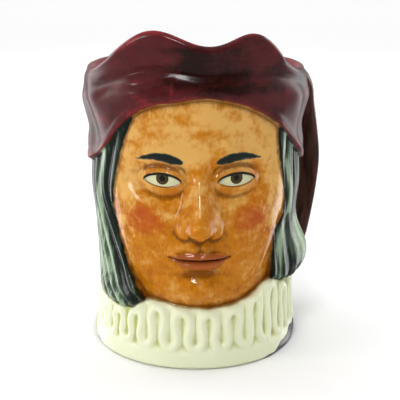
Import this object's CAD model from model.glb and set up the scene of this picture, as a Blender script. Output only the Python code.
"""The looks of a glazed earthenware character jug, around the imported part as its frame.

Metres, +Z up. The jug is shaped here by the same rules as its solid, on a finer grid and with the
hand-modelled detail that the solid leaves out. Its shapes are laid out in units of a 102nd of the
frame's height, which is a millimetre, with angles in degrees from the face towards +X. Distances
to the edges between its parts are kept on the mesh, and the glaze is painted by them.
"""

import math

import bpy
import numpy as np
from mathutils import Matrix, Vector
from mathutils.kdtree import KDTree


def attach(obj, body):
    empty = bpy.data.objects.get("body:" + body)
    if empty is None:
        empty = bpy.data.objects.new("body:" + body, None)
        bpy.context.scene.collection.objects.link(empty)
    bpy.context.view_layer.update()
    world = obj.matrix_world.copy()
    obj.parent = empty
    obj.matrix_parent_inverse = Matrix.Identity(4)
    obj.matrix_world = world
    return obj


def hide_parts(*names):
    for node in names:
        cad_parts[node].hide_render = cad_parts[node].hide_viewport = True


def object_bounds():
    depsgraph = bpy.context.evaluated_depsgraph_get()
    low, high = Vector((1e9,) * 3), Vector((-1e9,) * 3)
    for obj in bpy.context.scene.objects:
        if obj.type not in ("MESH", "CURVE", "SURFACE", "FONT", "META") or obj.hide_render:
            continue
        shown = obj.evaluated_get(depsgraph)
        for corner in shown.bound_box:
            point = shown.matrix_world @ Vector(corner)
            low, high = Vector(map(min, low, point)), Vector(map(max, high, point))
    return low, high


NODE = "character_jug"

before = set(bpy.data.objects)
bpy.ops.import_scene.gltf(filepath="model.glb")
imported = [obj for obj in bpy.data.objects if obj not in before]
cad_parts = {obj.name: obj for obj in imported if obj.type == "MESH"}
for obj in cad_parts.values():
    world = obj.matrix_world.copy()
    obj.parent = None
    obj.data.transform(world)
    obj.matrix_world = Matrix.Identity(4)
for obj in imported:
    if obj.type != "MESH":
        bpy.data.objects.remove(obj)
CAD_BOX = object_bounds()

# The body's sizes in units, as in the solid.
TOP = 102
UNIT = CAD_BOX[1].z / TOP
WIDTH = 60.6
DEPTH = 66.3
WALL = 3.0
FLOOR = 4.0
FLOOR_CORNER = 6.0
FOOT_CORNER = 1.6
LIP = 3.2
SKIN_DEPTH = 2.5
HAIR_DEPTH = 3.0
CAP_DEPTH = 4.0
RUFF_DEPTH = 3.7
COAT_DEPTH = 3.5
STEP_WIDTH = 1.0
PLEATS = 28
PLEAT_RELIEF = 1.4
HANDLE_ANGLE = 130
HANDLE_WIDTH = 12.0
HANDLE_THICKNESS = 7.2
HANDLE_GROOVE = 0.9
FINGER_GAP = 13.5
HANDLE_ROOT = 2.0
HEAD_HEIGHT = 76
CHIN_HEIGHT = 20.6
HEAD_TURN = 2
EYE = HEAD_HEIGHT / 7

# The eyes and lips, for the mesh and for its paint, in eye widths from the face's middle and
# from the chin.
EYE_PLACE = 1.0
EYE_HALF = 0.50
EYE_HEIGHT = 3.50
EYE_SLANT = 0.02
UPPER_LID_RISE = 0.19
UPPER_LID_BEND = 0.7
LOWER_LID = 3.49
LOWER_LID_DROP = 0.14
LOWER_LID_BEND = 0.8
MOUTH_HEIGHT = 1.33
MOUTH_HALF = 0.85
MOUTH_BOW = 0.05
UPPER_LIP_HALF = 0.84
UPPER_LIP_HEIGHT = 0.25
UPPER_LIP_BEND = 0.65
LOWER_LIP_HALF = 0.74
LOWER_LIP_HEIGHT = 0.30
LOWER_LIP_BEND = 0.60

# Distances past the edges of the layers that put the rim, the inside and the strap in the cap.
IN_CAP_ALONE = {"hair": -9, "ruff": -20, "coat": -20, "cap": 20}

# The grid: its steps between the lines that it follows, round the jug and up it.
COLUMN_STEPS = (46, 66, 8, 84, 84, 8, 66, 46)
ROW_STEPS = (6, 36, 6, 92, 6, 16, 8, 20)
LIP_STEPS = 8
INSIDE_STEPS = 24
HANDLE_SIDES = 44
HANDLE_STEPS = 96


def smoothstep(low, high, value):
    """0 below low, 1 above high, and a smooth climb between."""
    share = np.clip((value - low) / (high - low), 0, 1)
    return share * share * (3 - 2 * share)


def bell(value, centre, spread):
    """1 at centre, falling away smoothly over about spread."""
    return np.exp(-(((value - centre) / spread) ** 2))


def blob(u, v, centre_u, centre_v, spread_u, spread_v):
    """A soft round swelling in two directions."""
    return bell(u, centre_u, spread_u) * bell(v, centre_v, spread_v)


def mix(first, second, share):
    return first + (second - first) * share


def smooth_max(first, second, softness):
    """The larger of the two, with the corner between them rounded."""
    return 0.5 * (first + second + np.sqrt((first - second) ** 2 + softness**2))


def smooth_curve(stations, at, level_ends=True):
    """A smooth curve through (position, value) stations, level beyond its ends."""
    x, y = np.array(stations, float).T
    slope = np.gradient(y, x)
    if level_ends:
        slope[0] = slope[-1] = 0
    at = np.asarray(at, float)
    i = np.clip(np.searchsorted(x, at) - 1, 0, len(x) - 2)
    step = x[i + 1] - x[i]
    t = np.clip((at - x[i]) / step, 0, 1)
    near = (2 * t**3 - 3 * t**2 + 1) * y[i] + (t**3 - 2 * t**2 + t) * step * slope[i]
    far = (3 * t**2 - 2 * t**3) * y[i + 1] + (t**3 - t**2) * step * slope[i + 1]
    return near + far


def sine(degrees):
    return np.sin(np.radians(degrees))


def cosine(degrees):
    return np.cos(np.radians(degrees))


def quarter_round(height, corner):
    """How far a rounded edge draws in at a height above the flat that it rises from."""
    low = np.clip(1 - height / corner, 0, 1)
    return corner * (1 - np.sqrt(1 - low**2))


def unevenness(points, size, seed):
    """Smooth random bumps about size across, between about -1 and 1."""
    random = np.random.default_rng(seed)
    waves = 14
    total = 0
    for _ in range(waves):
        way = random.normal(size=3)
        way *= math.pi / size * random.uniform(0.6, 1.4) / np.linalg.norm(way)
        total = total + np.sin(points @ way + random.uniform(0, 2 * math.pi))
    return total / waves**0.5


def rim_height(angle):
    """The top of the rim: level behind, with a peak each side of the pouring dip in front."""
    return 89.3 + 12.7 * bell(angle, -18, 25.5) + 11.1 * bell(angle, 27, 19)


def core_radius(angle, z):
    """The plain oval body under all the carving, a little waisted above the ruff."""
    stations = [(0, 0.985), (8, 0.945), (18, 0.925), (30, 0.945), (40, 0.962), (52, 1.0)]
    stations += [(64, 0.985), (90, 0.975)]
    waist = smooth_curve(stations, z)
    half_width = WIDTH / 2 * waist
    half_depth = DEPTH / 2 * mix(1, waist, 0.4)
    squareness = 2.08
    across = np.abs(sine(angle) / half_width) ** squareness
    along = np.abs(cosine(angle) / half_depth) ** squareness
    return (across + along) ** (-1 / squareness)


def at_radius(angle, radius, z):
    """Points at an angle, a radius and a height."""
    return np.stack([radius * sine(angle), -radius * cosine(angle), z + 0 * radius], axis=-1)


def dome(u, v, centre_u, centre_v, radius_u, radius_v, height):
    """The front of an egg, which drops away steeply outside its outline."""
    q = ((u - centre_u) / radius_u) ** 2 + ((v - centre_v) / radius_v) ** 2
    return height * np.sqrt(np.clip(1 - q, 0, 1)) - 0.6 * np.clip(q - 1, 0, 3)


def nose_relief(u, v):
    """The nose in eye widths: a straight bridge, a round tip and two wings."""
    side = np.abs(u)
    profile = [(1.90, -0.30), (1.99, 0.22), (2.10, 0.66), (2.30, 0.84), (2.70, 0.66)]
    profile += [(3.20, 0.38), (3.60, 0.15), (4.00, 0.05), (4.60, -0.20)]
    bluntness = smooth_curve([(2.0, 0.22), (2.4, 0.22), (3.0, 0.13), (4.0, 0.30)], v)
    ridge = smooth_curve(profile, v) - 1.45 * (np.sqrt(side**2 + bluntness**2) - bluntness)
    tip = 0.42 + dome(u, v, 0, 2.30, 0.36, 0.32, 0.46)
    wing = 0.05 + dome(side, v, 0.40, 2.20, 0.27, 0.27, 0.38)
    nose = smooth_max(smooth_max(ridge, tip, 0.12), wing, 0.08)
    return nose - 0.22 * blob(side, v, 0.21, 2.03, 0.12, 0.08)


def eye_opening(side, v):
    """How far inside the almond of the open eye a point is, in eye widths, and the height of
    its upper edge."""
    along = np.clip((side - EYE_PLACE) / EYE_HALF, -1, 1)
    beyond = np.clip(np.abs(side - EYE_PLACE) - EYE_HALF, 0, None)
    upper = EYE_HEIGHT + EYE_SLANT * along + UPPER_LID_RISE * (1 - along**2) ** UPPER_LID_BEND
    lower = LOWER_LID + EYE_SLANT * along - LOWER_LID_DROP * (1 - along**2) ** LOWER_LID_BEND
    return np.minimum(upper - v, v - lower) - beyond, upper


def add_eye(relief, side, v):
    """An eyeball wrapped in two lids, with the crease above the upper one."""
    inside, upper = eye_opening(side, v)
    ball_depth, lid_thickness = 0.32, 0.075
    ball = dome(side, v, EYE_PLACE, EYE_HEIGHT, 0.68, 0.54, ball_depth) - ball_depth
    lids = smooth_max(relief, ball + lid_thickness, 0.07)
    near = smoothstep(0.64, 0.44, np.abs(side - EYE_PLACE))
    lids += 0.022 * bell(v, upper + 0.05, 0.05) * near
    lids -= 0.055 * bell(v, upper + 0.20, 0.06) * near
    return mix(lids, ball, smoothstep(-0.015, 0.035, inside))


def mouth_relief(u, v):
    """Closed lips at rest, the groove above them and the dimples at their ends."""
    side = np.abs(u)
    line = MOUTH_HEIGHT + MOUTH_BOW * (side / MOUTH_HALF) ** 2
    upper_share = np.clip(1 - (side / UPPER_LIP_HALF) ** 2, 0.001, 1) ** UPPER_LIP_BEND
    lower_share = np.clip(1 - (side / LOWER_LIP_HALF) ** 2, 0.001, 1) ** LOWER_LIP_BEND
    notch = 1 - 0.22 * bell(u, 0, 0.09)
    upper_height = UPPER_LIP_HEIGHT * upper_share * notch
    lower_height = LOWER_LIP_HEIGHT * lower_share
    up = np.clip((v - line) / upper_height, 0, 1)
    down = np.clip((line - v) / lower_height, 0, 1)
    relief = 0.10 * np.sin(math.pi * up**0.75) * smoothstep(0.86, 0.60, side)
    relief += 0.14 * np.sin(math.pi * down**0.80) * smoothstep(0.76, 0.45, side)
    relief -= 0.09 * bell(v, line, 0.04) * smoothstep(0.92, 0.80, side)
    relief -= 0.05 * blob(side, v, 0.92, 1.37, 0.13, 0.13)
    above_lip = smoothstep(1.48, 1.60, v) * smoothstep(2.10, 1.80, v)
    return relief + (0.022 * bell(side, 0.17, 0.09) - 0.03 * bell(u, 0, 0.09)) * above_lip


def cheek_fold(side, v):
    """The soft fold from the wing of the nose towards the corner of the mouth."""
    along = smoothstep(1.3, 1.7, v) * smoothstep(2.45, 2.1, v)
    return -0.04 * bell(side, 0.62 + 0.42 * (2.3 - v), 0.12) * along


def outside_face(u, v):
    """How far outside the oval of the jaw and cheeks a point is, in eye widths."""
    low = np.clip((3.5 - v) / 3.50, 0, None)
    oval = (np.abs(u) / 2.42) ** 2.5 + low**2.4
    return 2.6 * (oval ** (1 / 2.4) - 1)


def face_relief(u, v):
    """How far the face stands forward of the plain head. All lengths are in eye widths: u is
    measured from the middle of the face and v from the chin. The proportions are the classical
    canon: the eyes half way up the head and an eye's width apart, and the hair line, the brow,
    the base of the nose and the chin at equal distances."""
    side = np.abs(u)
    brow = 4.06 + 0.14 * bell(side, 1.20, 0.60) - 0.10 * smoothstep(1.3, 1.9, side)
    relief = 0.11 * bell(v, brow, 0.28) * bell(side, 0.95, 0.90)
    relief += 0.05 * blob(u, v, 0, 4.15, 0.45, 0.40)
    socket = ((side - 1.02) / 0.82) ** 2 + ((v - 3.52) / 0.48) ** 2
    relief -= 0.28 * np.exp(-(socket**1.3))
    relief -= 0.15 * blob(side, v, 0.50, 3.56, 0.22, 0.34)
    relief += 0.13 * blob(side, v, 1.55, 2.80, 0.70, 0.50)
    relief += 0.10 * blob(side, v, 1.35, 2.05, 0.85, 0.65)
    relief += 0.20 * blob(u, v, 0, 1.42, 1.10, 0.70)
    relief += 0.24 * blob(u, v, 0, 0.44, 0.62, 0.38)
    relief -= 0.11 * blob(u, v, 0, 0.88, 0.62, 0.17)
    relief += cheek_fold(side, v) + mouth_relief(u, v)
    relief = add_eye(relief, side, v)
    relief = smooth_max(relief, nose_relief(u, v), 0.12)
    return relief - 0.24 * smoothstep(-0.25, 0.45, outside_face(u, v))


def face_position(angle, z):
    """Where a point of the head lies on the face, in eye widths from its middle and chin."""
    radius = core_radius(angle, z) + SKIN_DEPTH
    return radius * sine(angle - HEAD_TURN) / EYE, (z - CHIN_HEIGHT) / EYE


def skin_points(angle, z):
    """The skin, whose face is pushed straight forward from the plain head."""
    points = at_radius(angle, core_radius(angle, z) + SKIN_DEPTH, z)
    u, v = face_position(angle, z)
    forward = EYE * face_relief(u, v) * smoothstep(-0.1, 0.35, cosine(angle))
    forward += 0.07 * unevenness(points, 5, seed=3)
    points[..., 0] += forward * sine(HEAD_TURN)
    points[..., 1] -= forward * cosine(HEAD_TURN)
    return points


def collar_line(angle):
    """The height of the ruff's visible top edge, under the chin and the ends of the hair."""
    stations = [(-180, 19), (-100, 17), (-65, 16.2), (-45, 16.2), (-34, 17.2), (-26, 20.3)]
    stations += [(-18, 20.4), (-8, 19.4), (4, 18.9), (15, 19.0), (25, 20.1), (44, 24.6)]
    return smooth_curve(stations + [(55, 22.4), (80, 21.4), (110, 19), (180, 19)], angle)


def ruff_foot(angle):
    """The height of the ruff's lower edge, which lifts off the coat at the sides and back."""
    stations = [(-180, 7.0), (-110, 5.2), (-78, 1.9), (-62, 0.9), (-48, -1.5), (28, -1.5)]
    stations += [(38, 0.0), (44, 1.4), (53, 3.4), (64, 5.0), (80, 5.2), (110, 6.0), (180, 7.0)]
    return smooth_curve(stations, angle) + 0.5 * cosine(PLEATS * angle)


def meander(samples, swing):
    """One wave of a meander whose heading swings from side to side as a sine, so that its loops
    are round and close in at the neck. It runs from one bottom to the next, 1 wide and 1 high."""
    heading = math.radians(swing) * np.sin(2 * math.pi * (np.arange(samples) + 0.5) / samples)
    x, y = np.cumsum(np.cos(heading)), np.cumsum(np.sin(heading))
    return x / x[-1], y / y.max()


def ruff_radius(angle, z):
    """Goffered pleats: a ribbon on edge that meanders up and down all the way round, with a
    pocket inside each loop, and a smooth band below. They are softest at the left."""
    band_top, ribbon = 5.6, 1.45
    mean = core_radius(angle, z) + RUFF_DEPTH
    pitch = 2 * math.pi * mean / PLEATS
    bottom = band_top + 0.8
    top = collar_line(angle) - 1.3
    phase = (PLEATS * angle / 360 + 0.5) % 1 - 0.5
    distance = 0 * z + pitch
    for x, y in zip(*meander(samples=64, swing=104)):
        sideways = ((x - phase + 0.5) % 1 - 0.5) * pitch
        distance = np.minimum(distance, np.hypot(sideways, bottom + (top - bottom) * y - z))
    folds = np.exp(-((distance / ribbon) ** 2.5))
    folds = mix(folds, 0.90, smoothstep(band_top + 2.2, band_top - 1.2, z))
    worn = 0.5 * smoothstep(-40, -60, angle) * smoothstep(-115, -95, angle)
    return mean + PLEAT_RELIEF * mix(folds - 0.60, 0.4, worn)


def coat_radius(angle, z):
    """The coat under the ruff, with a few shallow folds that die out at the foot."""
    folds = 0.35 * sine(9 * angle + 40 * sine(3 * angle)) * smoothstep(0.5, 3.5, z)
    return core_radius(angle, z) + COAT_DEPTH + folds


def strand_angle(angle, z):
    """The angle at which a strand of hair that passes here leaves the cap. The strands wave on
    their way down, and those at the left sweep forward under the jaw."""
    left = smooth_curve([(17, 34), (24, 22), (31, 15), (38, 8), (51, -3), (71, 0)], z)
    right = smooth_curve([(20, 7), (37, 5), (55, -1), (71, 0)], z)
    sweep = left * smoothstep(-125, -85, angle) * (angle < 0)
    sweep = sweep + right * smoothstep(125, 85, angle) * (angle >= 0)
    return angle - sweep + 2.2 * np.sin(z / 11 + 0.9) * smoothstep(60, 110, np.abs(angle))


def locks(angle, z):
    """Broad locks of hair with a soft groove between them, and finer strands in each. The bulb
    at the right is combed smooth."""
    flow = strand_angle(angle, z)
    broad = np.abs(sine(16 * flow + 40 * np.sin(z / 23))) ** 0.9 - 0.65
    strands = np.abs(sine(41 * flow + 70 * np.sin(z / 17 + flow / 13))) - 0.64
    wisps = np.sin(np.radians(97 * flow) + 2.5 * np.sin(z / 12 + flow / 9))
    smooth = 1 - 0.8 * blob(angle, z, 80, 31, 20, 9)
    return (1.0 * broad + 0.14 * strands + 0.04 * wisps) * smooth


def hair_radius(angle, z):
    """Hair at the sides and back, thick at its ends, with a lock that curls forward at the left
    of the chin and a bulb of hair that turns outwards at the right."""
    from_end = z - collar_line(angle)
    radius = core_radius(angle, z) + HAIR_DEPTH + locks(angle, z)
    radius += 0.9 * bell(from_end, 3.0, 5.0) * smoothstep(95, 60, np.abs(angle))
    radius += 5.1 * blob(angle, z, 84, 29.0, 21, 8.2)
    radius += 1.5 * blob(angle, z, -34, 22.5, 15, 7.0)
    return radius - 1.0 * smoothstep(1.8, 0.0, from_end)


def cap_edge(angle):
    """The height of the cap's lower edge, which drops over the ears."""
    stations = [(-180, 52), (-92, 58), (-66, 61.5), (-50, 67), (-37, 74.4), (-27, 78.9)]
    stations += [(-9, 81.8), (3, 82.9), (20, 81.1), (36, 76.8), (50, 71.5), (70, 63), (92, 58)]
    stations += [(180, 52)]
    return smooth_curve(stations, angle)


def cap_crease(angle):
    """The height of the fold under the cap's rolled brim."""
    stations = [(-180, 79), (-82, 82), (-46, 86.4), (-25, 90.3), (-10, 90.8), (5, 89.6)]
    stations += [(18, 90.2), (35, 89.6), (50, 87.8), (82, 82.5), (180, 79)]
    return smooth_curve(stations, angle)


def crease_depth(angle):
    """How deep the fold under the brim is: deepest at the left of the brow, none at the sides."""
    stations = [(-70, 0), (-45, 0.9), (-22, 1.3), (-5, 0.8), (20, 0.5), (50, 0.5), (70, 0)]
    return smooth_curve(stations, angle)


def second_fold(angle):
    """The height of a slanting fold in the band at the left, which meets the brim's fold."""
    return smooth_curve([(-60, 80.5), (-43.5, 84), (-19, 85.8), (-10.5, 87.7), (-4, 90)], angle)


def cap_radius(angle, z):
    """The soft cap: a rolled brim, a fold under it, a band of cloth with a hem over the brow
    and loose cloth down the sides."""
    crease = cap_crease(angle)
    edge = cap_edge(angle)
    rim = rim_height(angle)
    radius = core_radius(angle, z) + CAP_DEPTH
    radius += 1.4 * bell((z - crease) / (rim - crease), 0.5, 0.45)
    radius -= crease_depth(angle) * bell(z, crease, 1.6)
    fold_share = smoothstep(-62, -46, angle) * smoothstep(-6, -16, angle)
    radius -= 0.5 * bell(z, second_fold(angle), 1.2) * fold_share
    radius += 0.9 * bell((z - edge) / (crease - edge), 0.5, 0.40)
    radius += 0.35 * smoothstep(3.4, 2.2, z - edge)
    radius += 0.8 * blob(angle, z, -30, 85.0, 12, 3.2)
    radius += 0.6 * blob(angle, z, 34, 84.0, 13, 3.0)
    side = smoothstep(38, 70, np.abs(angle)) * smoothstep(5, -5, z - crease)
    drape = np.sin(angle / 4.1 + (z - 70) / 6 + 1.3 * np.sin(angle / 14))
    radius += side * (0.65 * drape + 2.3 * bell(z, 82.4, 5.2) - 1.1 * bell(z, 70, 4))
    radius += 1.6 * bell(angle, 1, 17) * smoothstep(crease, rim, z)
    flare = mix(-0.4, 1.7, smoothstep(80, 45, np.abs(angle)))
    radius += 0.13 * unevenness(at_radius(angle, radius, z), 7, seed=5)
    return radius + flare * smoothstep(crease + 3, rim, z)


def face_edges(z):
    """The angles where hair begins beside the face, at the left and at the right."""
    left = [(19, -25.5), (23, -28.5), (30, -35.8), (36, -40.4), (43, -44.6), (49, -46.2)]
    left += [(60, -42.6), (71, -36.4), (79, -31)]
    right = [(23, 43.8), (35, 44.2), (40.5, 46.2), (46, 53), (51, 53.6), (57, 50.6), (64, 47.4)]
    right += [(73, 46.5)]
    return smooth_curve(left, z), smooth_curve(right, z)


def edge_distances(angle, z):
    """How far past the edge of each layer a point of the outside is, in units: above 0 it is in
    the layer. The layers are laid one over another in this order."""
    left, right = face_edges(z)
    beside = np.maximum(left - angle, angle - right) * math.pi / 180 * core_radius(angle, z)
    return {
        "hair": beside,
        "ruff": collar_line(angle) - z,
        "coat": ruff_foot(angle) - z,
        "cap": z - cap_edge(angle),
    }


def outside_points(angle, z):
    """The finished outside: each layer laid over the ones before it."""
    half = STEP_WIDTH / 2
    shares = {}
    for name, distance in edge_distances(angle, z).items():
        shares[name] = smoothstep(-half, half, distance)[..., None]
    points = mix(skin_points(angle, z), at_radius(angle, hair_radius(angle, z), z), shares["hair"])
    foot = quarter_round(z, FOOT_CORNER)
    ruff = at_radius(angle, ruff_radius(angle, z) - foot, z)
    coat = at_radius(angle, coat_radius(angle, z) - foot, z)
    points = mix(points, mix(ruff, coat, shares["coat"]), shares["ruff"])
    return mix(points, at_radius(angle, cap_radius(angle, z), z), shares["cap"])


def hollow_radius(angle, z):
    """The inside of the wall, which keeps its thickness behind the deepest carving."""
    deepest_fold = 2.0
    deepest_socket = -0.9
    in_face = bell(angle, HEAD_TURN, 42) * smoothstep(14, 26, z) * smoothstep(88, 76, z)
    deepest = mix(deepest_fold, deepest_socket, in_face)
    return core_radius(angle, z) + deepest - WALL


def stretches(steps):
    """For each line of a grid, which stretch it lies in and how far along that it is."""
    stretch = np.repeat(np.arange(len(steps)), steps)
    share = np.concatenate([np.arange(count) / count for count in steps])
    return stretch, share


def closer_rows(share):
    """Moves rows of the face towards the eyes, the base of the nose and the mouth."""
    eyes, nose, mouth = 0.642, 0.36, 0.246
    at = np.linspace(0, 1, 400)
    density = 1 + 1.7 * bell(at, eyes, 0.05) + 0.6 * bell(at, nose, 0.04)
    density += 1.4 * bell(at, mouth, 0.03)
    reached = np.cumsum(density)
    reached = (reached - reached[0]) / (reached[-1] - reached[0])
    return np.interp(share, reached, at)


def outside_grid():
    """Angles and heights of a grid over the outside. Its columns follow the edges of the hair
    and its rows the top of the ruff, the cap's edge and crease, and the rim. Each depends on
    the other, so both are settled in a few rounds."""
    column, across = stretches(COLUMN_STEPS)
    row, up = stretches(ROW_STEPS)
    row, up = np.append(row, row[-1]), np.append(up, 1.0)
    foot_stretch, face_stretch = 0, 3
    up = np.where(row == foot_stretch, 1 - np.cos(up * math.pi / 2), up)
    up = np.where(row == face_stretch, closer_rows(up), up)[:, None]
    rows, columns = np.arange(len(row)), np.arange(len(column))
    z = np.tile(mix(0, TOP, rows[:, None] / len(rows)), (1, len(columns)))
    edge_zone, back_start, back_seam = 2.2, 100, 180
    rounds = 4
    for _ in range(rounds):
        left, right = face_edges(z)
        back = back_start + 0 * z
        middle = (left + right) / 2
        seam = back_seam + 0 * z
        knots = [-seam, -back, left - edge_zone, left + edge_zone, middle]
        knots = np.stack(knots + [right - edge_zone, right + edge_zone, back, seam])
        low, high = knots[column, :, columns].T, knots[column + 1, :, columns].T
        angle = mix(low, high, across)
        collar, edge, crease = collar_line(angle), cap_edge(angle), cap_crease(angle)
        corner = FOOT_CORNER + 0 * z
        rim = rim_height(angle) - LIP / 2
        levels = [0 * z, corner, collar - 1, collar + 1, edge - 1, edge + 1]
        levels = np.stack(levels + [crease - 1.8, crease + 1.8, rim])
        z = mix(levels[row, rows], levels[row + 1, rows], up)
    return angle, z


def ring_points(top, radius, z):
    """Points straight below or above the given ones, at other radii and heights."""
    across = top[:, :2] / np.hypot(top[:, 0], top[:, 1])[:, None]
    return np.concatenate([radius[..., None] * across, z[..., None]], axis=-1)


def casting_rings():
    """The casting as rings of points, from the underside up the outside, over the rim and down
    the inside to the floor, with the distances that its glaze is painted by."""
    angle, z = outside_grid()
    outside = outside_points(angle, z)

    top = outside[-1]
    reach = np.hypot(top[:, 0], top[:, 1])
    turn = np.linspace(0, 180, LIP_STEPS + 2)[1:-1, None]
    rim = ring_points(top, reach - LIP / 2 * (1 - cosine(turn)), top[:, 2] + LIP / 2 * sine(turn))

    corner_steps = 6
    down = np.linspace(0, 1, INSIDE_STEPS - corner_steps)[:, None]
    wall_z = mix(top[:, 2][None], FLOOR + FLOOR_CORNER, down)
    corner_turn = np.linspace(0, 90, corner_steps + 1)[1:, None]
    corner_z = FLOOR + FLOOR_CORNER * (1 - sine(corner_turn)) + 0 * top[:, 2][None]
    inner_z = np.concatenate([wall_z, corner_z])
    rim_zone = 12
    near_rim = smoothstep(rim_zone, 0, top[:, 2][None] - inner_z)
    radius = mix(hollow_radius(angle[-1], inner_z), (reach - LIP)[None], near_rim)
    inside = ring_points(top, radius - quarter_round(inner_z - FLOOR, FLOOR_CORNER), inner_z)

    distances = edge_distances(angle, z)
    over_rim = math.pi * LIP / 2
    distances["inside"] = z - top[:, 2][None] - over_rim
    rim_share = turn / 180 - 1 + 0 * reach[None]
    below_rim = top[:, 2][None] - inner_z
    for name, past in IN_CAP_ALONE.items():
        rest = np.full((len(rim) + len(inside), len(reach)), float(past))
        distances[name] = np.concatenate([distances[name], rest])
    distances["inside"] = np.concatenate([distances["inside"], rim_share * over_rim, below_rim])
    distances["strap"] = 0 * distances["inside"]
    return np.concatenate([outside, rim, inside]), distances


def handle_path(steps):
    """The middle of the strap, as distances from the jug's axis and heights. It leaves the cap,
    hangs down clear of the hair by the finger gap and comes back to the ruff."""
    top_z, foot_z = 79.5, 13.5
    top = core_radius(HANDLE_ANGLE, top_z) + CAP_DEPTH
    foot = core_radius(HANDLE_ANGLE, foot_z) + RUFF_DEPTH
    side = core_radius(HANDLE_ANGLE, 52) + HAIR_DEPTH + 0.5
    reach = FINGER_GAP + HANDLE_THICKNESS / 2
    shares = [(0.30, 81.4), (0.54, 81.7), (0.72, 78.2), (0.80, 71.5), (0.92, 62.0), (1.0, 52)]
    shares += [(0.95, 43.5), (0.86, 36), (0.76, 29.5), (0.62, 23.0), (0.34, 17.6)]
    path = [(top - HANDLE_ROOT, top_z), (top + 1.0, top_z + 0.5)]
    path += [(side + reach * out, z) for out, z in shares]
    path += [(foot + 1.0, foot_z + 0.5), (foot - HANDLE_ROOT, foot_z)]
    path = np.array(path)
    along = np.append(0, np.cumsum(np.hypot(*np.diff(path, axis=0).T)))
    at = np.linspace(0, along[-1], steps + 1)
    radius, z = (smooth_curve(list(zip(along, part)), at, level_ends=False) for part in path.T)
    return radius, z, at


def handle_rings():
    """The strap as rings of points, with its distances. A groove runs down its edge where the
    cloth folds over, and both of its ends spread where they are joined on."""
    radius, z, along = handle_path(HANDLE_STEPS)
    forward = np.stack([np.gradient(radius), np.gradient(z)], axis=-1)
    forward /= np.linalg.norm(forward, axis=-1, keepdims=True)
    turn = np.arange(HANDLE_SIDES)[None, :] * 360 / HANDLE_SIDES
    from_end = np.minimum(along, along[-1] - along) - HANDLE_ROOT
    spread = 1 + 0.32 * smoothstep(6, 0, from_end)[:, None]
    groove_turn, groove_spread, groove_start, groove_full = 152, 13, 3, 10
    fade_in = smoothstep(groove_start, groove_full, from_end)[:, None]
    groove = HANDLE_GROOVE * bell(turn, groove_turn, groove_spread) * fade_in
    sideways = (HANDLE_WIDTH / 2 * spread - groove) * cosine(turn)
    outward = (HANDLE_THICKNESS / 2 * spread - groove) * sine(turn)
    r = radius[:, None] - forward[:, 1:] * outward
    height = z[:, None] + forward[:, :1] * outward
    x = r * sine(HANDLE_ANGLE) + sideways * cosine(HANDLE_ANGLE)
    y = -r * cosine(HANDLE_ANGLE) + sideways * sine(HANDLE_ANGLE)
    rings = np.stack([x, y, height], axis=-1)
    past = IN_CAP_ALONE | {"inside": -20, "strap": 1}
    return rings, {name: np.full(rings.shape[:2], float(value)) for name, value in past.items()}


def closed_mesh(name, rings):
    """Rings of points as one closed mesh in metres, with a fan over each end."""
    count = rings.shape[1]
    ends = [rings[0].mean(axis=0), rings[-1].mean(axis=0)]
    points = np.concatenate([rings.reshape(-1, 3), ends]) * UNIT
    here = np.arange(count)
    after = np.roll(here, -1)
    faces = []
    for row in range(len(rings) - 1):
        low, high = row * count, (row + 1) * count
        faces += np.stack([low + here, low + after, high + after, high + here], axis=1).tolist()
    first, last = rings.shape[0] * count, rings.shape[0] * count + 1
    faces += np.stack([here * 0 + first, after, here], axis=1).tolist()
    top = (rings.shape[0] - 1) * count
    faces += np.stack([here * 0 + last, top + here, top + after], axis=1).tolist()
    mesh = bpy.data.meshes.new(name)
    mesh.from_pydata(points.tolist(), [], faces)
    return mesh


def with_ends(values):
    """Values of rings, and of the middle point of the first ring and of the last."""
    return np.concatenate([values.ravel(), [values[0, 0], values[-1, 0]]])


def add_object(name, data):
    made = bpy.data.objects.new(name, data)
    bpy.context.scene.collection.objects.link(made)
    return made


def coordinates(mesh):
    values = np.empty(len(mesh.vertices) * 3, np.float32)
    mesh.vertices.foreach_get("co", values)
    return values.reshape(-1, 3).astype(float)


def neighbour_mean(values, edges, counts):
    """The mean of each point's neighbours."""
    total = np.zeros_like(values)
    np.add.at(total, edges[:, 0], values[edges[:, 1]])
    np.add.at(total, edges[:, 1], values[edges[:, 0]])
    return total / counts.reshape((-1,) + (1,) * (values.ndim - 1))


def mesh_edges(mesh):
    """The mesh's edges as pairs of points, and how many neighbours each point has."""
    edges = np.empty(len(mesh.edges) * 2, np.int32)
    mesh.edges.foreach_get("vertices", edges)
    edges = edges.reshape(-1, 2)
    return edges, np.maximum(np.bincount(edges.ravel(), minlength=len(mesh.vertices)), 1)


def nearest(tree_points, points):
    """For each point, the nearest of the tree's points and how far off it is."""
    tree = KDTree(len(tree_points))
    for index, point in enumerate(tree_points):
        tree.insert(point, index)
    tree.balance()
    found = [tree.find(point)[1:] for point in points]
    index, distance = zip(*found)
    return np.array(index), np.array(distance)


def soften_seam(mesh, seam):
    """Rounds the seam between the strap and the body, as slip and glaze do."""
    reach, passes = 3.2 * UNIT, 30
    points = coordinates(mesh)
    _, distance = nearest(points[seam], points)
    weight = 0.5 * smoothstep(reach, 0.3 * reach, distance)[:, None]
    edges, counts = mesh_edges(mesh)
    for _ in range(passes):
        points += weight * (neighbour_mean(points, edges, counts) - points)
    mesh.vertices.foreach_set("co", points.astype(np.float32).ravel())
    mesh.update()


def recess(mesh, passes):
    """How far each point lies below the mean of its surroundings, in units."""
    points = coordinates(mesh)
    normals = np.empty(len(mesh.vertices) * 3, np.float32)
    mesh.vertices.foreach_get("normal", normals)
    edges, counts = mesh_edges(mesh)
    mean = points
    for _ in range(passes):
        mean = mix(mean, neighbour_mean(mean, edges, counts), 0.7)
    return ((mean - points) * normals.reshape(-1, 3)).sum(axis=1) / UNIT


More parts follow.
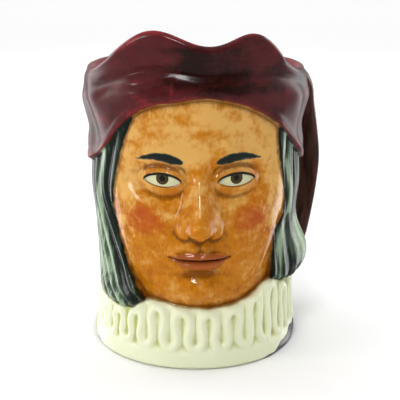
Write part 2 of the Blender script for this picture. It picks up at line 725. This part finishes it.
def glazed_jug():
    """The whole jug as one mesh: the casting and its strap, joined. Points that the join made
    are the seam, and each point keeps the distances of the nearest point before the join."""
    body_rings, body_distances = casting_rings()
    strap_rings, strap_distances = handle_rings()
    body = add_object("glazed_jug", closed_mesh("glazed_jug", body_rings))
    strap = add_object("strap", closed_mesh("strap", strap_rings))
    originals = np.concatenate([coordinates(body.data), coordinates(strap.data)])

    join = body.modifiers.new("join", "BOOLEAN")
    join.operation = "UNION"
    join.solver = "EXACT"
    join.object = strap
    evaluated = body.evaluated_get(bpy.context.evaluated_depsgraph_get())
    mesh = bpy.data.meshes.new_from_object(evaluated)
    body.modifiers.clear()
    body.data = mesh
    bpy.data.objects.remove(strap, do_unlink=True)

    index, distance = nearest(originals, coordinates(mesh))
    for name in body_distances:
        values = np.concatenate([with_ends(body_distances[name]), with_ends(strap_distances[name])])
        store(mesh, name, values[index])
    unmoved = 0.001 * UNIT
    soften_seam(mesh, distance > unmoved)
    mesh.shade_smooth()
    store(mesh, "recess", recess(mesh, passes=6))
    store(mesh, "hollow", recess(mesh, passes=40))
    return body


def store(mesh, name, values):
    """Keeps a number on each point of the mesh, for the glaze to read."""
    attribute = mesh.attributes.new(name, "FLOAT", "POINT")
    attribute.data.foreach_set("value", values.astype(np.float32))


class Signal:
    """A number that varies over the surface. Arithmetic on it adds Math nodes to its tree."""

    def __init__(self, tree, socket):
        self.tree = tree
        self.socket = socket

    def math(self, operation, *others):
        inputs = dict(enumerate((self, *others)))
        return add_node(self.tree, "Math", inputs, operation=operation)

    def __add__(self, other):
        return self.math("ADD", other)

    def __sub__(self, other):
        return self.math("SUBTRACT", other)

    def __rsub__(self, other):
        return self * -1 + other

    def __mul__(self, other):
        return self.math("MULTIPLY", other)

    def __truediv__(self, other):
        return self.math("DIVIDE", other)

    def __abs__(self):
        return self.math("ABSOLUTE")

    def power(self, exponent):
        return self.math("POWER", exponent)

    def squared(self):
        return self * self

    def at_least(self, low):
        return self.math("MAXIMUM", low)

    def at_most(self, high):
        return self.math("MINIMUM", high)

    def climb(self, low, high):
        """0 below low, 1 above high, and a smooth climb between; low may be the larger."""
        inputs = {"Value": self, "From Min": low, "From Max": high}
        return add_node(self.tree, "MapRange", inputs, interpolation_type="SMOOTHSTEP")

    def hump(self, centre, spread):
        """1 at centre, falling away smoothly over about spread."""
        offset = (self - centre) / spread
        return (offset.squared() * -1).math("EXPONENT")


def connect(tree, value, socket):
    """Links a signal to a socket, or sets the socket to a number or colour."""
    if isinstance(value, Signal):
        tree.links.new(value.socket, socket)
    elif isinstance(value, tuple):
        socket.default_value = (*value, 1) if len(socket.default_value) == 4 else value
    else:
        socket.default_value = value


def add_node(tree, kind, inputs=None, output=0, **settings):
    """A node with its settings and inputs, as the signal of one of its outputs."""
    node = tree.nodes.new("ShaderNode" + kind)
    for name, value in settings.items():
        setattr(node, name, value)
    for name, value in (inputs or {}).items():
        connect(tree, value, node.inputs[name])
    return Signal(tree, node.outputs[output])


class Glaze:
    """A glaze material under construction, with its readings of the surface."""

    def __init__(self, name):
        self.material = bpy.data.materials.new(name)
        self.material.use_nodes = True
        self.tree = self.material.node_tree
        self.shader = self.tree.nodes["Principled BSDF"]
        place = add_node(self.tree, "TexCoord", output="Object")
        self.place = self.scaled(place, (1 / UNIT,) * 3)

    def scaled(self, vector, factors):
        return add_node(self.tree, "VectorMath", {0: vector, 1: factors}, operation="MULTIPLY")

    def coordinate(self, axis):
        return add_node(self.tree, "SeparateXYZ", {0: self.place}, axis)

    def stored(self, name):
        return add_node(self.tree, "Attribute", output="Fac", attribute_name=name)

    def noise(self, size, stretch=(1, 1, 1), detail=2, roughness=0.5):
        """Soft random patches about size across, from 0 to 1, longer where stretch is more."""
        place = self.scaled(self.place, tuple(1 / (size * longer) for longer in stretch))
        inputs = {"Vector": place, "Scale": 1, "Detail": detail, "Roughness": roughness}
        return add_node(self.tree, "TexNoise", inputs, "Fac")

    def pits(self, size):
        """The distance to scattered points about size apart, in sizes."""
        place = self.scaled(self.place, (1 / size,) * 3)
        return add_node(self.tree, "TexVoronoi", {"Vector": place, "Scale": 1}, "Distance")

    def blend(self, under, over, share):
        """One colour over another, by a share."""
        factor, first, second, result = 0, 6, 7, 2
        inputs = {factor: share, first: under, second: over}
        return add_node(self.tree, "Mix", inputs, result, data_type="RGBA")


# The glazes' colours, linear.
SKIN_PALE = (0.74, 0.41, 0.110)
SKIN_TAN = (0.58, 0.200, 0.008)
SKIN_BROWN = (0.30, 0.075, 0.003)
SKIN_WASH = (0.15, 0.035, 0.002)
ROSE = (0.46, 0.070, 0.010)
LIP_RED = (0.34, 0.075, 0.028)
BROW_DARK = (0.010, 0.016, 0.012)
BROW_GREEN = (0.050, 0.085, 0.060)
EYE_CREAM = (0.72, 0.70, 0.43)
EYE_IRIS = (0.075, 0.052, 0.020)
LINE_DARK = (0.014, 0.014, 0.011)
HAIR_PALE = (0.30, 0.40, 0.26)
HAIR_GREEN = (0.055, 0.090, 0.055)
HAIR_DARK = (0.006, 0.012, 0.007)
RUFF_CREAM = (0.90, 0.93, 0.66)
RUFF_GREEN = (0.56, 0.58, 0.20)
COAT_DARK = (0.030, 0.033, 0.026)
CAP_MAROON = (0.085, 0.0120, 0.0135)
CAP_RED = (0.26, 0.018, 0.026)
CAP_DARK = (0.016, 0.0040, 0.0022)
STRAP_BROWN = (0.085, 0.036, 0.026)
INSIDE_CREAM = (0.80, 0.78, 0.62)


def skin_colour(glaze, v, side):
    """Tan skin, paler on the brow, with rosy cheeks and a brown wash in its recesses and along
    the hair, the ruff and the cap."""
    patches = glaze.noise(9, detail=2)
    strokes = glaze.noise(3.4, stretch=(1.5, 1, 1), detail=2, roughness=0.6)
    hatch = glaze.noise(0.9, stretch=(1, 1, 2.0), detail=3, roughness=0.65)
    lower = v.climb(4.8, 1.4)
    tan = lower * 0.7 + (patches - 0.5) * 1.6 + (strokes - 0.5) * 2.2 + (hatch - 0.5) * 0.9 + 0.35
    tan = tan - side.climb(1.5, 2.2) * 0.45
    colour = glaze.blend(SKIN_PALE, SKIN_TAN, tan.climb(0.0, 1.0))
    brown = (strokes - 0.5) * 2.8 + (patches - 0.5) * 1.2 + (hatch - 0.5) * 2.2 + lower * 0.35
    colour = glaze.blend(colour, SKIN_BROWN, brown.climb(0.0, 1.6) * (lower * 0.42 + 0.28))
    cheek = side.hump(1.50, 0.70) * v.hump(2.42, 0.58)
    rosy = cheek * 1.15 + (strokes - 0.5) * 1.5 + (hatch - 0.5) * 0.9
    colour = glaze.blend(colour, ROSE, rosy.climb(0.25, 1.35) * cheek.climb(0.05, 0.7) * 0.85)
    from_hair = glaze.stored("hair")
    wash = glaze.stored("recess") * 2.5 * from_hair.climb(-0.6, -1.6) + glaze.stored("hollow") * 0.2
    wash = wash + (strokes - 0.5) * 0.5 + (hatch - 0.5) * 0.5
    edge = from_hair.hump(-0.4, 0.7) * 0.55 + glaze.stored("ruff").climb(-4.5, -0.5) * 0.45
    edge = edge + glaze.stored("cap").climb(-5, -0.5) * 0.3
    return glaze.blend(colour, SKIN_WASH, (wash + edge).climb(0.05, 0.85) * 0.75)


def paint_lips(glaze, colour, v, side, wobble):
    """Red lips with a dark line between them."""
    upper_share = (1 - (side / UPPER_LIP_HALF).squared()).at_least(0.001).power(UPPER_LIP_BEND)
    lower_share = (1 - (side / LOWER_LIP_HALF).squared()).at_least(0.001).power(LOWER_LIP_BEND)
    line = (side / MOUTH_HALF).squared() * MOUTH_BOW + MOUTH_HEIGHT
    below_top = upper_share * UPPER_LIP_HEIGHT + line - v
    above_foot = lower_share * LOWER_LIP_HEIGHT - line + v
    on_lips = below_top.at_most(above_foot) + wobble * 0.05
    colour = glaze.blend(colour, LIP_RED, on_lips.climb(-0.02, 0.06) * 0.75)
    parting = (v - line).hump(0, 0.035) * side.climb(0.90, 0.78)
    return glaze.blend(colour, SKIN_WASH, parting * 0.9)


def paint_eyes(glaze, colour, v, side, wobble):
    """The white of each eye, a ringed iris with its pupil, and the lines of the lashes."""
    along = ((side - EYE_PLACE) / EYE_HALF).at_least(-1).at_most(1)
    curve = (1 - along.squared()).at_least(0)
    upper = along * EYE_SLANT + EYE_HEIGHT + curve.power(UPPER_LID_BEND) * UPPER_LID_RISE
    lower = along * EYE_SLANT + LOWER_LID - curve.power(LOWER_LID_BEND) * LOWER_LID_DROP
    from_middle = abs(side - EYE_PLACE)
    inside = (upper - v).at_most(v - lower) - (from_middle - EYE_HALF).at_least(0)
    colour = glaze.blend(colour, EYE_CREAM, inside.climb(-0.005, 0.02))
    iris_height = 3.57
    from_iris = (from_middle.squared() + (v - iris_height).squared()).power(0.5)
    seen = inside.climb(0.0, 0.01)
    rings = [(LINE_DARK, 0.175, 0.160), (EYE_IRIS, 0.155, 0.135), (LINE_DARK, 0.088, 0.070)]
    for paint, outer, inner in rings:
        colour = glaze.blend(colour, paint, from_iris.climb(outer, inner) * seen)
    lash = abs(v - upper - 0.008 + wobble * 0.02).climb(0.056, 0.036)
    colour = glaze.blend(colour, LINE_DARK, lash * from_middle.climb(0.54, 0.49))
    lower_lash = abs(v - lower + 0.004).climb(0.022, 0.008) * abs(side - 1.02).climb(0.50, 0.40)
    return glaze.blend(colour, SKIN_WASH, lower_lash * 0.8)


def paint_brows(glaze, colour, v, side, wobble):
    """Brows brushed on in dark green, nearly black along their middle."""
    brow = side.hump(1.15, 0.62) * 0.18 + 3.98
    middle, half = 1.08, 0.64
    rounded = (1 - ((side - middle) / half).squared()).at_least(0).power(0.4)
    thickness = (side.climb(1.75, 0.60) * 0.095 + 0.075) * rounded
    on_brow = thickness - abs(v - brow) + wobble * 0.07
    shape = on_brow.climb(-0.005, 0.03) * side.climb(1.76, 1.68) * side.climb(0.40, 0.45)
    hairs = glaze.noise(0.9, stretch=(2.5, 1, 1), detail=2)
    brow_colour = glaze.blend(BROW_GREEN, BROW_DARK, (on_brow * 9 + hairs * 0.6).climb(0.35, 0.9))
    return glaze.blend(colour, brow_colour, shape)


def face_colour(glaze, v, side):
    """The skin with lips, eyes and brows painted over it, at the places of the modelled ones."""
    wobble = glaze.noise(1.6, detail=2) - 0.5
    colour = skin_colour(glaze, v, side)
    for paint in (paint_lips, paint_eyes, paint_brows):
        colour = paint(glaze, colour, v, side, wobble)
    return colour


def hair_colour(glaze):
    """Grey-green hair, brushed dark in the grooves and pale along the locks."""
    streaks = glaze.noise(1.6, stretch=(1, 1, 9), detail=3, roughness=0.6)
    patches = glaze.noise(7, stretch=(1, 1, 2.0), detail=3)
    groove = glaze.stored("recess") * 3.2 + glaze.stored("hollow") * 0.5
    dark = glaze.stored("tone") + groove * 0.35 + (streaks - 0.5) * 1.9 + (patches - 0.5) * 1.0
    colour = glaze.blend(HAIR_PALE, HAIR_GREEN, dark.climb(-0.15, 0.40))
    colour = glaze.blend(colour, HAIR_DARK, dark.climb(0.30, 0.85))
    outline = glaze.stored("hair").climb(1.3, 0.3) * glaze.stored("cap").climb(0.2, -0.6)
    return glaze.blend(colour, HAIR_DARK, outline * 0.7)


def cap_colour(glaze):
    """Maroon glaze laid on with a broad brush: dark where it pools, red where it is thin."""
    patches = glaze.noise(11, detail=3)
    strokes = glaze.noise(4, stretch=(1.8, 1.8, 0.8), detail=3, roughness=0.6)
    fine = glaze.noise(1.3, stretch=(0.8, 0.8, 2.5), detail=2)
    pool = glaze.stored("hollow") * 0.4 + glaze.stored("recess") * 1.2
    dark = (patches - 0.5) * 1.6 + (strokes - 0.5) * 1.4 + (fine - 0.5) * 0.4 + pool * 0.5
    colour = glaze.blend(CAP_MAROON, CAP_DARK, (dark + glaze.stored("shade")).climb(-0.1, 0.8))
    edges = glaze.stored("cap").climb(2.2, 0.6) * 0.18
    edges = edges + glaze.stored("inside").climb(-5, -1.5) * 0.3
    thin = (0.5 - strokes) * 2.0 + (0.5 - patches) * 1.2 + (fine - 0.5) * 0.5 + edges
    thin = thin - pool * 0.8 - glaze.stored("shade") * 0.7
    colour = glaze.blend(colour, CAP_RED, thin.climb(0.20, 0.95) * 0.8)
    lengthwise = glaze.noise(2.4, stretch=(1, 1, 7), detail=2)
    strap = glaze.blend(STRAP_BROWN, CAP_DARK, lengthwise.climb(0.40, 0.62) * 0.7)
    return glaze.blend(colour, strap, glaze.stored("strap") * 0.9)


def ruff_colour(glaze):
    """Cream with yellow-green glaze pooled in the pockets of the pleats."""
    pool = glaze.stored("recess") * 1.8 + glaze.stored("hollow") * 0.7
    cloud = (glaze.noise(5, detail=3) - 0.5) * 0.9
    return glaze.blend(RUFF_CREAM, RUFF_GREEN, (pool + cloud).climb(0.0, 0.9))


def painted_colour(glaze, v, side, z, brush, in_hair):
    """All the glazes, each laid over the ones before it with a brushed edge."""
    in_coat = (glaze.stored("coat") + brush).climb(-0.3, 0.3)
    in_ruff = (glaze.stored("ruff") + brush * 0.5).climb(-0.5, 0.3)
    in_cap = (glaze.stored("cap") + brush * 0.4).climb(-0.3, 0.2)
    inside = (glaze.stored("inside") + brush * 1.5).climb(2.2, 3.4)
    underside = z.climb(0.35, 0.1)
    colour = glaze.blend(face_colour(glaze, v, side), hair_colour(glaze), in_hair)
    colour = glaze.blend(colour, glaze.blend(ruff_colour(glaze), COAT_DARK, in_coat), in_ruff)
    colour = glaze.blend(colour, cap_colour(glaze), in_cap)
    colour = glaze.blend(colour, INSIDE_CREAM, inside)
    return glaze.blend(colour, COAT_DARK, underside * 0.3)


def surface_height(glaze, v):
    """The glaze's soft ripple, and the scattered pits of the lower face."""
    ripple = glaze.noise(2.6, detail=2) * 0.035 + glaze.noise(0.8, detail=1) * 0.006
    pits = (glaze.pits(2.2).climb(0.10, 0.24) - 1) * 0.08
    in_skin = glaze.stored("hair").climb(0, -1) * glaze.stored("cap").climb(0, -1)
    in_skin = in_skin * glaze.stored("ruff").climb(0, -1) * v.climb(3.2, 2.2)
    return ripple + pits * in_skin


def glaze_material():
    """The painted and glazed surface. It is glossiest on the face and the ruff."""
    glaze = Glaze("painted_earthenware")
    x, y, z = (glaze.coordinate(axis) for axis in range(3))
    turn = math.radians(HEAD_TURN)
    side = abs((x * math.cos(turn) + y * math.sin(turn)) / EYE)
    v = (z - CHIN_HEIGHT) / EYE
    brush = (glaze.noise(3.2, detail=1) - 0.5) * 1.4
    in_hair = (glaze.stored("hair") + brush * 0.5).climb(-0.45, 0.15)
    colour = painted_colour(glaze, v, side, z, brush, in_hair)
    connect(glaze.tree, colour, glaze.shader.inputs["Base Color"])

    on_cap = glaze.stored("cap").climb(-0.3, 0.3) * glaze.stored("inside").climb(3.4, 2.2)
    roughness = glaze.noise(5, detail=2) * 0.10 + on_cap * 0.10 + in_hair * 0.12 + 0.06
    connect(glaze.tree, roughness, glaze.shader.inputs["Roughness"])
    glaze.shader.inputs["Metallic"].default_value = 0
    glaze.shader.inputs["IOR"].default_value = 1.5
    glaze.shader.inputs["Specular IOR Level"].default_value = 0.3

    height = {"Height": surface_height(glaze, v), "Distance": UNIT, "Strength": 1}
    connect(glaze.tree, add_node(glaze.tree, "Bump", height), glaze.shader.inputs["Normal"])
    return glaze.material


def hair_tone(angle, z):
    """How dark the hair is brushed: most beside the face, between the pale strands and under
    the bulb at the right."""
    beside = edge_distances(angle, z)["hair"]
    left = 0.65 * smoothstep(7.5, 4.5, beside) - 0.55 * bell(beside, 8.4, 1.3)
    left += 0.45 * smoothstep(9.0, 11.0, beside) * smoothstep(40, 52, z)
    left -= 0.40 * smoothstep(8.5, 12, beside) * smoothstep(50, 40, z) * smoothstep(22, 28, z)
    left += 0.35 * smoothstep(8, 3, z - collar_line(angle)) * smoothstep(12, 8, beside)
    right = 0.6 * bell(beside, 0, 1.5) - 0.65 * bell(beside, 3.4, 1.1) + 0.5 * bell(beside, 9, 3.5)
    right += 0.22 * smoothstep(38, 48, z) - 0.30 * bell(beside, 6.0, 0.9)
    right -= 1.1 * blob(angle, z, 86, 32.5, 20, 7.5) - 0.75 * blob(angle, z, 58, 25, 24, 4.5)
    return 0.30 + np.where(angle < 0, left, right)


def cap_shade(angle, z):
    """How thick the cap's glaze is: nearly black in the dip of the rim and across the middle of
    the band, thin at the left of the brim and down one short fleck."""
    shade = 0.55 * blob(angle, z, 6, 95, 18, 8) + 0.60 * blob(angle, z, 17, 85.5, 20, 3.6)
    shade += 0.35 * blob(angle, z, -14, 87.5, 14, 2.6) - 0.35 * blob(angle, z, -34, 91, 14, 9)
    return shade - 0.9 * blob(angle, z, -10.5, 85.0, 0.8, 2.2)


def add_area_light(name, location, target, size, power):
    """A rectangular soft white light, aimed at a point."""
    data = bpy.data.lights.new(name, "AREA")
    data.shape = "RECTANGLE"
    data.size, data.size_y = size
    data.energy = power
    lamp = add_object(name, data)
    lamp.location = location
    lamp.rotation_euler = (Vector(target) - lamp.location).to_track_quat("-Z", "Y").to_euler()
    return lamp


def studio_lamps():
    """A small key light above the front, a window at the left, a tall soft box behind each side
    and a broad fill overhead, which the glaze doesn't mirror."""
    middle = (0, 0, 0.5 * TOP * UNIT)
    add_area_light("key", (-0.16, -0.62, 0.62), middle, (0.24, 0.07), 2.6)
    add_area_light("left_window", (-0.66, -0.26, 0.24), middle, (0.15, 0.15), 0.8)
    add_area_light("left_box", (-0.62, 0.42, 0.05), middle, (0.45, 0.90), 3.3)
    add_area_light("right_box", (0.60, 0.42, 0.05), middle, (0.40, 0.90), 2.5)
    fill = add_area_light("fill", (0, 1.4, 3.0), middle, (6.0, 6.0), 160)
    fill.visible_glossy = False


def light_tent():
    """Soft white light from all round, with a dark gap in front."""
    world = bpy.data.worlds.new("light_tent")
    bpy.context.scene.world = world
    world.use_nodes = True
    tree = world.node_tree
    way = add_node(tree, "TexCoord", output="Generated")
    y, z = (add_node(tree, "SeparateXYZ", {0: way}, axis) for axis in "YZ")
    to_front = y * -0.97 + z * 0.25
    gap_strength, tent_strength = 0.02, 0.35
    strength = to_front.climb(0.92, 0.45) * (tent_strength - gap_strength) + gap_strength
    background = tree.nodes["Background"]
    background.inputs["Color"].default_value = (1, 1, 1, 1)
    connect(tree, strength, background.inputs["Strength"])


def paper_floor():
    """A sheet of white paper, which the glaze doesn't mirror."""
    floor_mesh = bpy.data.meshes.new("floor")
    half = 4.0
    corners = [(-half, -half, 0), (half, -half, 0), (half, half, 0), (-half, half, 0)]
    floor_mesh.from_pydata(corners, [], [(0, 1, 2, 3)])
    floor = add_object("floor", floor_mesh)
    paper = bpy.data.materials.new("white_paper")
    paper.use_nodes = True
    shader = paper.node_tree.nodes["Principled BSDF"]
    shader.inputs["Base Color"].default_value = (0.93, 0.93, 0.93, 1)
    shader.inputs["Roughness"].default_value = 0.9
    floor_mesh.materials.append(paper)
    floor.visible_glossy = False


def camera():
    """The photograph's viewpoint: a little above the jug, looking down at the face."""
    distance, height, pitch = 0.300, 0.123, math.radians(14.77)
    frame_pixels, focal_pixels, middle_pixel = 400, 939, 195.5
    data = bpy.data.cameras.new("camera")
    data.sensor_width = 36
    data.lens = data.sensor_width * focal_pixels / frame_pixels
    data.shift_x = (frame_pixels / 2 - middle_pixel) / frame_pixels
    made = add_object("camera", data)
    made.location = (0, -distance, height)
    made.rotation_euler = (math.pi / 2 - pitch, 0, 0)
    bpy.context.scene.camera = made
    bpy.context.scene.view_settings.view_transform = "Standard"


def add_tone(jug):
    """Keeps the brushed tone of the hair and of the cap on the mesh."""
    points = coordinates(jug.data) / UNIT
    angle = np.degrees(np.arctan2(points[:, 0], -points[:, 1]))
    store(jug.data, "tone", hair_tone(angle, points[:, 2]))
    store(jug.data, "shade", cap_shade(angle, points[:, 2]))


jug = glazed_jug()
add_tone(jug)
jug.data.materials.append(glaze_material())
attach(jug, "root")
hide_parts(NODE)
studio_lamps()
light_tent()
paper_floor()
camera()
